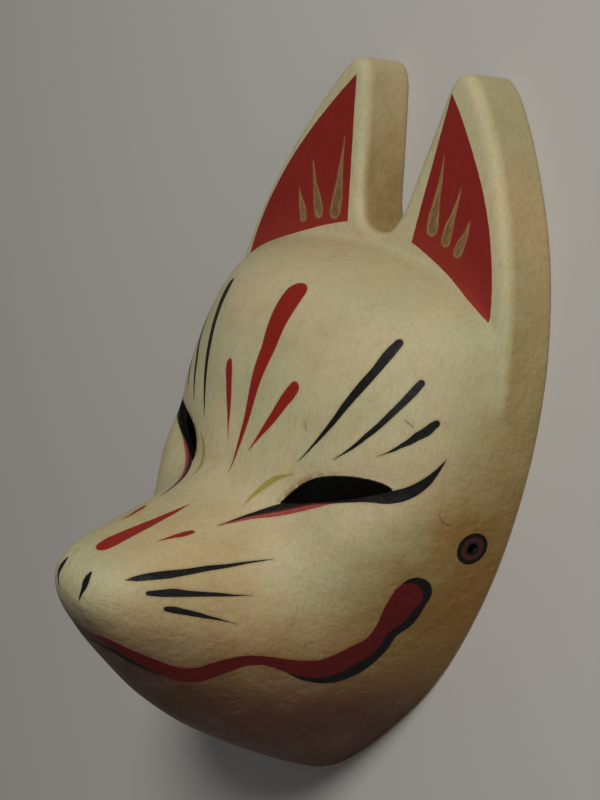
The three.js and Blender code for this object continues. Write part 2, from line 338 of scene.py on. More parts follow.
# Points for the front of the face: an even spread, closer where the form is steep
def frontPoints(border, eyes):
    step = division["faceStep"]
    rowGap = step * division["rowGap"]
    rowsUp = np.arange(up(0), up(1), rowGap)
    columns = np.arange(-halfWidth, halfWidth, step)
    grid = np.array([(x + k % 2 * step / 2, y) for k, y in enumerate(rowsUp) for x in columns])
    extra = np.vstack([grid + (0, rowGap * 2 / 3), grid + (step / 2, rowGap / 3)])
    slope = np.hypot(
        faceHeight(extra[:, 0] + mm, extra[:, 1]) - faceHeight(extra[:, 0] - mm, extra[:, 1]),
        faceHeight(extra[:, 0], extra[:, 1] + mm) - faceHeight(extra[:, 0], extra[:, 1] - mm),
    ) / (2 * mm)
    points = np.vstack([grid, extra[slope > division["steepFrom"]]])
    inside, nearby = insideOutline(points, border)
    keep = inside & (nearby > step * 0.6)
    for eye in eyes:
        inEye, nearEye = insideOutline(points, eye)
        keep &= ~inEye & (nearEye > step * 0.45)
    return points[keep]


def vertexNormals(points, triangles):
    corners = points[triangles]
    faces = np.cross(corners[:, 1] - corners[:, 0], corners[:, 2] - corners[:, 0])
    normals = np.zeros_like(points)
    for k in range(3):
        np.add.at(normals, triangles[:, k], faces)
    return normals / np.maximum(np.linalg.norm(normals, axis=1), 1e-12)[:, None]


# The painted side as one open surface: the wall band, then the front within it
def outerSurface():
    band = wallBand()
    border = band[-1][:, :2]
    eyes = [eyeOutline(1), eyeOutline(-1)[::-1]]
    front = frontPoints(border, eyes)
    loops = [border, *eyes]
    flat = np.vstack([*loops, front])
    edges = []
    start = 0
    for loop in loops:
        edges += [(start + i, start + (i + 1) % len(loop)) for i in range(len(loop))]
        start += len(loop)
    made = delaunay_2d_cdt([Vector(p) for p in flat], edges, [], 1, 1e-9)
    spots = np.array([tuple(p) for p in made[0]])
    sources = [ids[0] for ids in made[3]]
    triangles = np.array([face for face in made[2] if len(face) == 3])
    middles = spots[triangles].mean(axis=1)
    hole = insideOutline(middles, eyes[0])[0] | insideOutline(middles, eyes[1])[0]
    triangles = triangles[~hole & insideOutline(middles, border)[0]]

    x, y = spots[:, 0], spots[:, 1]
    z = shellHeight(x, y, np.full(len(x), division["wallReach"]))
    inBorder = [k for k, source in enumerate(sources) if source < rimCount]
    z[inBorder] = [band[-1][sources[k], 2] for k in inBorder]
    points = np.vstack([band[:-1].reshape(-1, 3), np.column_stack([x, y, z])])
    bandPoints = (len(band) - 1) * rimCount
    place = {source: bandPoints + k for k, source in enumerate(sources)}
    rings = [[row * rimCount + i for i in range(rimCount)] for row in range(len(band) - 1)]
    rings.append([place[i] for i in range(rimCount)])
    faces = [tuple(face) for face in triangles + bandPoints]
    for lower, upper in zip(rings[:-1], rings[1:]):
        for i in range(rimCount):
            j = (i + 1) % rimCount
            faces.append((lower[i], lower[j], upper[j]))
            faces.append((lower[i], upper[j], upper[i]))
    eyeLoops = []
    start = rimCount
    for eye in eyes:
        eyeLoops.append([place[start + i] for i in range(len(eye))])
        start += len(eye)
    return points, np.array(faces), rings[0], eyeLoops


def placeObject(name, data):
    made = bpy.data.objects.new(name, data)
    bpy.context.scene.collection.objects.link(made)
    return made


def maskMesh():
    points, faces, rimRing, eyeLoops = outerSurface()
    normals = vertexNormals(points, faces)
    for k, i in enumerate(rimRing):
        normals[i] = (-inward[k][0], -inward[k][1], 0)
        normals[i] /= np.linalg.norm(normals[i])
    inner = points - form["wall"] * normals
    inner[:, 2] = np.maximum(inner[:, 2], form["rimCorner"])
    count = len(points)

    # rounded lip under the rim, from the outer wall round to the inner one
    corner = form["rimCorner"]
    turns = [radians(angle) for angle in (30, 60, 90)]
    lip = [(corner * (1 - cos(turn)), corner * (1 - sin(turn))) for turn in turns]
    lip += [(form["wall"] - shift, drop) for shift, drop in reversed(lip)]
    lipRows = []
    for shift, height in lip:
        row = points[rimRing] - shift * normals[rimRing]
        row[:, 2] = height
        lipRows.append(row)
    everything = np.vstack([points, inner, *lipRows])
    rings = [rimRing]
    rings += [[2 * count + k * rimCount + i for i in range(rimCount)] for k in range(len(lip))]
    rings.append([count + i for i in rimRing])

    allFaces = [tuple(face) for face in faces]
    kinds = [0] * len(faces)
    allFaces += [(c + count, b + count, a + count) for a, b, c in faces]
    kinds += [1] * len(faces)
    for upper, lower in zip(rings[:-1], rings[1:]):
        for i in range(rimCount):
            j = (i + 1) % rimCount
            allFaces.append((upper[j], upper[i], lower[i], lower[j]))
            kinds.append(2)
    for loop in eyeLoops:
        for i, here in enumerate(loop):
            ahead = loop[(i + 1) % len(loop)]
            allFaces.append((here, ahead, ahead + count, here + count))
            kinds.append(3)
    mesh = bpy.data.meshes.new("fox_mask")
    mesh.from_pydata([tuple(p) for p in everything], [], allFaces)
    mesh.update()
    sides = mesh.attributes.new("side", "INT", "FACE")
    sides.data.foreach_set("value", kinds)
    return mesh


# Bore for the tying cord through both side walls
def cordBore():
    count = 28
    radius = form["cordHoleWidth"] / 2
    middle = (up(form["cordHoleUp"]), form["cordHoleOut"])
    ends = []
    for x in (-1.1 * halfWidth, 1.1 * halfWidth):
        for i in range(count):
            turn = 2 * pi * i / count
            ends.append((x, middle[0] + radius * cos(turn), middle[1] + radius * sin(turn)))
    faces = [(i, (i + 1) % count, count + (i + 1) % count, count + i) for i in range(count)]
    faces += [tuple(reversed(range(count))), tuple(range(count, 2 * count))]
    mesh = bpy.data.meshes.new("cord_bore")
    mesh.from_pydata(ends, [], faces)
    sides = mesh.attributes.new("side", "INT", "FACE")
    sides.data.foreach_set("value", [3] * len(faces))
    return placeObject("cord_bore", mesh)


# Adds a node with its settings first, then the values or links of its sockets
def addNode(tree, kind, settings, sockets):
    node = tree.nodes.new(kind)
    for name, value in (settings or {}).items():
        setattr(node, name, value)
    for name, value in (sockets or {}).items():
        value = getattr(value, "socket", value)
        if isinstance(value, bpy.types.NodeSocket):
            tree.links.new(value, node.inputs[name])
        else:
            node.inputs[name].default_value = value
    return node


paperLaying = {"Unevenness": 1.1 * mm, "Size": 26 * mm, "Flat Rim": 12 * mm, "Seed": 3.0}


# Geometry Nodes tree that lays the paper unevenly by hand and sets the finishes
def paperTree(finishes):
    tree = bpy.data.node_groups.new("hand_laid_paper", "GeometryNodeTree")
    tree.interface.new_socket("Mask", in_out="INPUT", socket_type="NodeSocketGeometry")
    inputs = {}
    for name, value in paperLaying.items():
        made = tree.interface.new_socket(name, in_out="INPUT", socket_type="NodeSocketFloat")
        made.default_value = value
        inputs[name] = made.identifier
    tree.interface.new_socket("Mask", in_out="OUTPUT", socket_type="NodeSocketGeometry")

    def add(kind, settings=None, sockets=None, output=0):
        return addNode(tree, kind, settings, sockets).outputs[output]

    def maths(operation, first, second):
        return add("ShaderNodeMath", {"operation": operation}, {0: first, 1: second})

    start = addNode(tree, "NodeGroupInput", None, None).outputs
    place = add("GeometryNodeInputPosition")
    spread = add("ShaderNodeVectorMath", {"operation": "DIVIDE"}, {0: place, 1: start["Size"]})
    sockets = {"Vector": spread, "W": start["Seed"], "Scale": 1, "Detail": 2.5}
    swell = add("ShaderNodeTexNoise", {"noise_dimensions": "4D"}, sockets)
    height = add("ShaderNodeSeparateXYZ", None, {0: place}, 2)
    sockets = {"Value": height, "From Max": start["Flat Rim"]}
    fade = add("ShaderNodeMapRange", {"interpolation_type": "SMOOTHSTEP"}, sockets)
    amount = maths("MULTIPLY", maths("SUBTRACT", swell, 0.5), start["Unevenness"])
    sockets = {0: add("GeometryNodeInputNormal"), "Scale": maths("MULTIPLY", amount, fade)}
    push = add("ShaderNodeVectorMath", {"operation": "SCALE"}, sockets)
    side = add("GeometryNodeInputNamedAttribute", {"data_type": "INT"}, {"Name": "side"})
    moved = add("GeometryNodeSetPosition", None, {0: start[0], "Offset": push})
    last = add("GeometryNodeRealizeInstances", None, {0: moved})
    for kind, finish in enumerate(finishes):
        settings = {"data_type": "INT", "operation": "EQUAL"}
        chosen = add("FunctionNodeCompare", settings, {2: side, 3: kind})
        last = add("GeometryNodeSetMaterial", None, {0: last, 1: chosen, "Material": finish})
    end = tree.nodes.new("NodeGroupOutput")
    tree.links.new(last, end.inputs[0])
    return tree, inputs


print("stage 2: paths of the brush strokes")

# Brush strokes in millimetres: across and up from the mask's middle, then half the width there.
# A path runs from the loaded end of the brush to its lifted tip. A stroke beside the middle is
# painted on both sides unless it names one: 1 is the wearer's left.
strokes = {
    "foreheadMiddle": {"ink": "red", "side": 1, "path": [
        (1.2, 45.8, 5.3), (1.4, 42.5, 5.5), (1.1, 33.8, 4.8), (0.5, 24.6, 3.9), (0.2, 15.6, 3),
        (0, 6.3, 2.1), (0, -3.1, 1.4), (0.1, -12.4, 0.7), (0.1, -21.2, 0.05),
    ]},
    "foreheadLeft": {"ink": "red", "side": 1, "path": [
        (20.7, 15.2, 2.4), (19.6, 13, 2.65), (17.8, 9.9, 2.4), (16, 6.4, 2.15), (14, 2.5, 1.85),
        (11.9, -1.2, 1.45), (9.8, -4.9, 0.85), (7.9, -8.7, 0.35), (6.3, -11.8, 0.05),
    ]},
    "foreheadRight": {"ink": "red", "side": -1, "path": [
        (18.7, 15.2, 1.7), (17.7, 13.2, 2.1), (16, 9.6, 1.85), (14.5, 5.8, 1.65), (12.9, 2, 1.35),
        (11.2, -1.7, 0.85), (9.6, -5.4, 0.4), (7, -10.8, 0.05),
    ]},
    "noseMiddle": {"ink": "red", "path": [
        (0, -49.4, 3.3), (0, -48.2, 3.65), (0, -45.5, 3.2), (0, -42.1, 2.6), (0, -39.8, 1.9),
        (0, -37, 1.2), (0, -33.6, 0.1),
    ]},
    "noseSide": {"ink": "red", "path": [
        (15.7, -39.3, 0.9), (15.1, -40, 1.25), (14.6, -40.8, 1.2), (13.8, -41.6, 0.85),
        (12.3, -44, 0.05),
    ]},
    "browInnerLeft": {"ink": "black", "side": 1, "path": [
        (52.3, 39.6, 1.6), (51.3, 35.7, 1.95), (49.6, 29.1, 1.7), (47, 22.5, 1.7), (44.1, 15.7, 1.45),
        (41.1, 8.7, 1.1), (37.2, 1.6, 0.66), (32.7, -5.5, 0.25), (30.3, -8.8, 0.05),
    ]},
    "browMiddleLeft": {"ink": "black", "side": 1, "path": [
        (63.7, 28.5, 1.3), (62.8, 25.5, 1.45), (61.2, 20.8, 1.3), (59.2, 16.2, 1.2), (57, 11.6, 1.05),
        (54.2, 7.1, 0.93), (51, 2.5, 0.62), (46.9, -1.9, 0.22), (44.5, -4, 0.05),
    ]},
    "browOuterLeft": {"ink": "black", "side": 1, "path": [
        (70.9, 16.6, 1.2), (70.3, 15.4, 1.5), (69.3, 13.1, 1.6), (67.7, 11, 1.4), (66.4, 8.8, 1.1),
        (64.7, 6.8, 0.72), (63, 4.7, 0.5), (60.9, 2.8, 0.15), (59, 1.3, 0.05),
    ]},
    "browInnerRight": {"ink": "black", "side": -1, "path": [
        (46.8, 41.2, 1.9), (46, 38.6, 2.3), (44.4, 32, 2.2), (41.9, 22.7, 1.9), (38.4, 13.4, 1.5),
        (34.3, 4, 0.95), (30.2, -4.1, 0.4), (28, -8, 0.05),
    ]},
    "browMiddleRight": {"ink": "black", "side": -1, "path": [
        (59, 27, 1.5), (57.6, 23.4, 1.7), (54.4, 16.4, 1.45), (50.3, 11, 1.2), (46.2, 5.2, 0.85),
        (42.6, -0.5, 0.45), (40.4, -4, 0.05),
    ]},
    "browOuterRight": {"ink": "black", "side": -1, "path": [
        (67, 14.5, 1.4), (65.2, 12.2, 1.6), (60.2, 8, 1.3), (54.3, 3.6, 0.75), (50.9, -0.6, 0.3),
        (49, -2.8, 0.05),
    ]},
    "whiskerUpper": {"ink": "black", "path": [
        (19, -55.9, 0.1), (20.4, -55, 0.9), (22.1, -53.8, 1.3), (24.9, -51.9, 1.5), (27.3, -50.1, 1.2),
        (29.4, -48.1, 1.05), (32, -46.2, 0.75), (34.6, -44.1, 0.45), (38.9, -41.4, 0.05),
    ]},
    "whiskerMiddle": {"ink": "black", "path": [
        (25, -58.6, 0.8), (27, -57.9, 1.25), (29.2, -57, 1.45), (31.4, -56.6, 1.05), (33.5, -56, 0.85),
        (35.7, -55.4, 0.7), (38, -54.9, 0.35), (40.9, -53.8, 0.05),
    ]},
    "whiskerLower": {"ink": "black", "path": [
        (29.2, -62.7, 0.8), (30.4, -62.6, 1.2), (31.9, -62.7, 1.05), (33.3, -62.9, 1), (34.7, -63, 0.85),
        (36, -63.3, 0.6), (37.5, -63.5, 0.4), (40.6, -64.2, 0.05),
    ]},
    "nostril": {"ink": "black", "path": [
        (8.1, -57, 0.6), (8.2, -58.3, 1.15), (8.5, -60.3, 1.4), (8.6, -62.4, 1), (8.1, -63.9, 0.65),
        (7.5, -65.6, 0.45), (6.6, -67.5, 0.1),
    ]},
    "crescent": {"ink": "olive", "path": [
        (17.8, -28.9, 0.05), (17.3, -25.9, 0.6), (18.2, -22.7, 1), (22.1, -17.7, 1.05), (29.4, -13.3, 0.05),
    ]},
    "underEye": {"ink": "pink", "path": [
        (19.2, -35.7, 0.05), (22.9, -31.9, 0.55), (29.8, -27.9, 0.85), (37.5, -23.5, 0.85),
        (42, -21.2, 0.6), (46.5, -19.2, 0.05),
    ]},
    "leftDropInner": {"ink": "gold", "side": 1, "path": [
        (30.9, 78.6, 2.9), (30.4, 83.5, 2.5), (30.2, 88.5, 1.5), (30, 95.7, 0.8), (29.4, 104.1, 0.05),
    ]},
    "leftDropMiddle": {"ink": "gold", "side": 1, "path": [
        (39.2, 75.6, 2.4), (39.4, 79.5, 2.2), (40.2, 84.5, 1.2), (40.9, 89.5, 0.6), (41.3, 94.4, 0.05),
    ]},
    "leftDropOuter": {"ink": "gold", "side": 1, "path": [
        (46.6, 72.9, 2.2), (47.4, 75.6, 2.1), (48.6, 79, 1.2), (49.2, 84.1, 0.05),
    ]},
    "rightDropInner": {"ink": "gold", "side": -1, "path": [
        (24.8, 75.8, 3.1), (25, 80.4, 2.9), (26, 87, 1.8), (27, 94, 0.9), (28, 103.4, 0.05),
    ]},
    "rightDropMiddle": {"ink": "gold", "side": -1, "path": [
        (34.4, 73.8, 2.4), (36.3, 77.5, 2.2), (39.4, 82.5, 1.2), (42, 87.5, 0.6), (44.4, 92.4, 0.05),
    ]},
    "rightDropOuter": {"ink": "gold", "side": -1, "path": [
        (42.9, 70.5, 2), (44.6, 73.4, 1.8), (46.8, 76.6, 1), (49, 80.8, 0.05),
    ]},
    "mouth": {"ink": "maroon", "path": [
        (0, -80.6, 1.6), (6.5, -80.6, 1.9), (12.85, -80.6, 2.3), (21.1, -83.6, 2.8), (27.3, -86.5, 3.4),
        (31.6, -85.6, 3.4), (37.8, -80.4, 2.9), (42, -77, 2.1), (44.9, -76.2, 1.9), (48.4, -77.1, 2.9),
        (52, -77, 4), (55.6, -73.8, 4.2), (58.9, -69.6, 3.9), (62.5, -64.4, 3.3), (65, -58.7, 2.7),
        (67.9, -52.1, 4.7), (70.7, -44.6, 5.5),
    ]},
    "crackAtEye": {"ink": "soot", "side": 1, "path": [
        (75.9, -13.6, 0.05), (76.2, -15, 0.16), (76.6, -16.1, 0.1), (77, -16.6, 0.16), (77.5, -17, 0.05),
    ]},
    "crackOverEye": {"ink": "soot", "side": 1, "path": [
        (29.4, 5.6, 0.05), (30, 4.1, 0.12), (30.7, 2.6, 0.05),
    ]},
    "crackAtBrow": {"ink": "soot", "side": 1, "path": [
        (63.3, 15.5, 0.05), (64.9, 14.6, 0.2), (65.9, 13.7, 0.05),
    ]},
}

# Black lines that lie under the red
underLines = {
    "lipLine": {"ink": "black", "path": [
        (0, -83.2, 1.7), (6.5, -83.4, 1.7), (12.8, -83.9, 1.6), (18, -86.1, 1.3), (23.5, -88.9, 0.1),
    ]},
    "mouthCorner": {"ink": "black", "path": [
        (46.9, -78.9, 0.3), (49.6, -79.4, 2.9), (53, -78.6, 4.4), (56.6, -75.2, 4.7), (60, -70.6, 4.4),
        (63.3, -65, 3.7), (66, -59, 3.3), (68.9, -52.4, 5.4), (71.8, -43, 6.4),
    ]},
    "eyeLine": {"ink": "black", "path": [
        (18.6, -35.8, 0.05), (22.2, -31.2, 0.85), (28.2, -26.4, 1.6), (34, -23.4, 1.6), (40, -20.6, 1.2),
        (48, -17.4, 1.1), (58, -13.7, 1.3), (65.4, -11.1, 2.1), (69.4, -8.1, 2.1), (72.3, -3.7, 1.6),
        (74, 1, 0.8), (75.1, 5.5, 0.05),
    ]},
}

inks = {
    "red": {"colour": (0.28, 0.020, 0.014), "dry": 0.0},
    "black": {"colour": (0.009, 0.0092, 0.0085), "dry": 0.2},
    "gold": {"colour": (0.30, 0.155, 0.055), "dry": 0.75},
    "maroon": {"colour": (0.115, 0.012, 0.012), "dry": 0.1},
    "pink": {"colour": (0.34, 0.06, 0.052), "dry": 0.3},
    "olive": {"colour": (0.36, 0.28, 0.06), "dry": 0.6},
    "soot": {"colour": (0.13, 0.095, 0.055), "dry": 0.3},
}


# Middle line, run and half width of a stroke, laid on the face
def layStroke(stroke):
    line = evenly(throughPoints(stroke["path"], False, 12) * mm, 0.5 * mm, False)
    x, y, width = line.T
    line = np.column_stack([x, y, faceAndEar(x, y)])
    tiny = 0.2 * mm
    slopeX = (faceAndEar(x + tiny, y) - faceAndEar(x - tiny, y)) / (2 * tiny)
    slopeY = (faceAndEar(x, y + tiny) - faceAndEar(x, y - tiny)) / (2 * tiny)
    normal = np.column_stack([-slopeX, -slopeY, np.ones(len(x))])
    tangent = np.gradient(line, axis=0)
    tangent /= np.linalg.norm(tangent, axis=1)[:, None]
    beside = np.cross(normal, tangent)
    beside /= np.linalg.norm(beside, axis=1)[:, None]
    return line, tangent, beside, runAlong(line), width


def faceAndEar(x, y):
    return shellHeight(x, y, np.full(len(x), division["wallReach"]))


# The numbers of the spots within reach of a line, a few thousand at a time
def partsInReach(spots, line, reach):
    inReach = (spots > line.min(axis=0) - reach) & (spots < line.max(axis=0) + reach)
    near = np.flatnonzero(inReach.all(axis=1))
    return np.array_split(near, len(near) // 4000 + 1)


# Each point's place on a stroke: beyond its ends, beside its middle line, half width and run
def placeOnStroke(points, stroke):
    line, tangent, beside, run, width = layStroke(stroke)
    middle = all(across == 0 for across, height, half in stroke["path"])
    spots = points.copy()
    if "side" in stroke:
        spots[:, 0] *= stroke["side"]
    elif not middle:
        spots[:, 0] = np.abs(spots[:, 0])
    made = np.zeros((len(points), 4))
    made[:, 0] = 1
    for part in partsInReach(spots, line, 15 * mm):
        gaps = np.linalg.norm(spots[part, None] - line[None], axis=2)
        closest = gaps.argmin(axis=1)
        offset = spots[part] - line[closest]
        along = run[closest] + np.einsum("ij,ij->i", offset, tangent[closest])
        across = np.einsum("ij,ij->i", offset, beside[closest])
        depth = (offset**2).sum(axis=1) - (along - run[closest]) ** 2 - across**2
        across = np.where(depth > (6 * mm) ** 2, 1, across)
        half = np.interp(along, run, width)
        made[part] = np.column_stack([np.abs(along - run[-1] / 2) - run[-1] / 2, across, half, along])
    return made


# The points of a mesh, the point and the face of each corner, the first corner of each face
def meshArrays(mesh):
    points = np.zeros(len(mesh.vertices) * 3)
    mesh.vertices.foreach_get("co", points)
    loops = np.zeros(len(mesh.loops), int)
    mesh.loops.foreach_get("vertex_index", loops)
    starts = np.zeros(len(mesh.polygons), int)
    mesh.polygons.foreach_get("loop_start", starts)
    faceOfLoop = np.repeat(np.arange(len(starts)), np.diff(np.append(starts, len(loops))))
    return points.reshape(-1, 3), loops, faceOfLoop, starts


def newMaterial(name):
    made = bpy.data.materials.new(name)
    made.use_nodes = True
    return made


def storeVectors(mesh, name, domain, columns):
    made = mesh.attributes.new(name, "FLOAT_VECTOR", domain)
    made.data.foreach_set("vector", np.column_stack(columns).ravel().astype(np.float32))


# Stores, for every corner of the mesh, its place on the nearest stroke of a set
def storeStrokes(mesh, name, strokeSet):
    points, loops, faceOfLoop, starts = meshArrays(mesh)
    places = [placeOnStroke(points, stroke) for stroke in strokeSet.values()]
    gaps = []
    for place in places:
        gap = np.hypot(np.maximum(place[:, 0], 0), place[:, 1]) - place[:, 2]
        gaps.append(np.minimum.reduceat(gap[loops], starts))
    nearest = np.array(gaps).argmin(axis=0)[faceOfLoop]
    chosen = np.array(places)[nearest, loops]
    used = [inks[stroke["ink"]] for stroke in strokeSet.values()]
    ink = np.array([ink["colour"] for ink in used])[nearest]
    dry = np.array([ink["dry"] for ink in used])[nearest]
    storeVectors(mesh, name + "Shape", "CORNER", [chosen[:, :3]])
    storeVectors(mesh, name + "Run", "CORNER", [chosen[:, 3], dry, nearest])
    storeVectors(mesh, name + "Ink", "CORNER", [ink])


print("stage 3: finishes")


# A socket in a material's tree; a sum on wires adds its Math nodes
class Wire:
    def __init__(self, finish, socket):
        self.finish = finish
        self.socket = socket

    def math(self, operation, *others):
        sockets = dict(enumerate((self, *others)))
        return self.finish.add("ShaderNodeMath", {"operation": operation}, sockets)

    def __add__(self, other):
        return self.math("ADD", other)

    def __sub__(self, other):
        return self.math("SUBTRACT", other)

    def __mul__(self, other):
        return self.math("MULTIPLY", other)

    def __truediv__(self, other):
        return self.math("DIVIDE", other)

    def __rsub__(self, other):
        return self.finish.add("ShaderNodeMath", {"operation": "SUBTRACT"}, {0: other, 1: self})

    __radd__ = __add__
    __rmul__ = __mul__


class Finish:
    def __init__(self, name):
        self.material = newMaterial(name)
        self.tree = self.material.node_tree
        self.tree.nodes.clear()
        self.place = self.add("ShaderNodeTexCoord", output="Object")
        self.x, self.y, self.z = self.parts(self.place)

    def add(self, kind, settings=None, sockets=None, output=0):
        return Wire(self, addNode(self.tree, kind, settings, sockets).outputs[output])

    def parts(self, vector):
        split = self.add("ShaderNodeSeparateXYZ", None, {0: vector}).socket.node
        return [Wire(self, socket) for socket in split.outputs]

    def attribute(self, name):
        return self.add("ShaderNodeAttribute", {"attribute_name": name}, output="Vector")

    # Smooth step from 0 at one value to 1 at the other
    def between(self, value, low, high):
        sockets = {"Value": value, "From Min": low, "From Max": high}
        return self.add("ShaderNodeMapRange", {"interpolation_type": "SMOOTHSTEP"}, sockets)

    def mix(self, share, first, second, blend="MIX"):
        sockets = {0: share, 6: first, 7: second}
        return self.add("ShaderNodeMix", {"data_type": "RGBA", "blend_type": blend}, sockets, 2)

    def shade(self, share, first, multiplier):
        return self.mix(share, first, multiplier, "MULTIPLY")

    def vector(self, operation, first, second):
        return self.add("ShaderNodeVectorMath", {"operation": operation}, {0: first, 1: second})

    # Noise with features of a size along x, y and z, in metres
    def noise(self, size, detail=2.0, seed=0.0, place=None):
        sizes = size if isinstance(size, tuple) else (size, size, size)
        spread = self.vector("DIVIDE", place or self.place, sizes)
        sockets = {"Vector": spread, "W": seed, "Scale": 1.0, "Detail": detail}
        return self.add("ShaderNodeTexNoise", {"noise_dimensions": "4D"}, sockets)

    # How far along its strip the paper wrapped round the rim is, and the strips' ends
    def strips(self):
        run = self.parts(self.attribute("rimRun"))[0] / whitewash["stripWidth"]
        step = (run + self.noise(9 * mm, 1.0, 6.6) * 0.5).math("FRACT")
        return step, self.between(step, 0.93, 0.985) + self.between(step, 0.05, 0.0)

    # Joins the shader, its relief a height in millimetres, and hands over the material
    def close(self, tint, roughness, height, depth=mm, shine=0.12):
        bump = self.add("ShaderNodeBump", None, {"Height": height, "Distance": depth, "Strength": 1.0})
        shader = self.add(
            "ShaderNodeBsdfPrincipled", None,
            {"Base Color": tint, "Roughness": roughness, "Specular IOR Level": shine, "Normal": bump})
        end = self.tree.nodes.new("ShaderNodeOutputMaterial")
        self.tree.links.new(shader.socket, end.inputs["Surface"])
        return self.material


def colour(red, green, blue):
    return (red, green, blue, 1)


whitewash = {
    "cream": colour(0.60, 0.52, 0.315),
    "greenCream": colour(0.50, 0.50, 0.30),
    "warmStain": colour(0.50, 0.385, 0.205),
    # the toning colours below also paint shade: where the mask turns from the light, under the jaw, on the
    # side walls and in the ear fold
    "toningAndShade": colour(0.62, 0.42, 0.25),
    "jawToningAndShade": colour(0.37, 0.275, 0.5),
    "wallToningAndShade": colour(0.92, 0.82, 0.66),
    "earStainAndShade": colour(0.52, 0.44, 0.27),
    "lidStain": colour(0.30, 0.165, 0.05),
    "speck": colour(0.62, 0.52, 0.42),
    "hair": colour(0.62, 0.50, 0.36),
    "patch": 48 * mm,
    "drift": 40 * mm,
    "cloud": 18 * mm,
    "mottle": 11 * mm,
    "fineMottle": 3.5 * mm,
    "pore": 1.6 * mm,
    "grain": 0.55 * mm,
    "crease": 6.5 * mm,
    "wrinkle": (3.6 * mm, 2.4 * mm, 3.6 * mm),
    "fibre": (0.55 * mm, 7 * mm, 0.55 * mm),
    "stripWidth": 14 * mm,
    "stripHeight": 6.5 * mm,
    "roughness": 0.5,
    "handledAt": (76, -34),  # millimetres across and up, where fingers hold the mask
    "handledReach": 44,
}

earPanel = {
    "apex": {"left": (26.1, 126.1), "right": (28.6, 127)},
    "innerSlope": {"left": 0.085, "right": 0.225},
    "outer": (1.03, -0.006),
    "lower": (71.7, -0.28, -0.0027),
    "lowerFrom": 22,
    "red": colour(0.245, 0.021, 0.016),
    "worn": colour(0.33, 0.045, 0.03),
}

cordRing = {"black": 5.9, "maroon": 4.3, "inner": 2.5, "colour": colour(0.075, 0.02, 0.018)}
black = colour(*inks["black"]["colour"])
goldShade = colour(0.42, 0.37, 0.36)


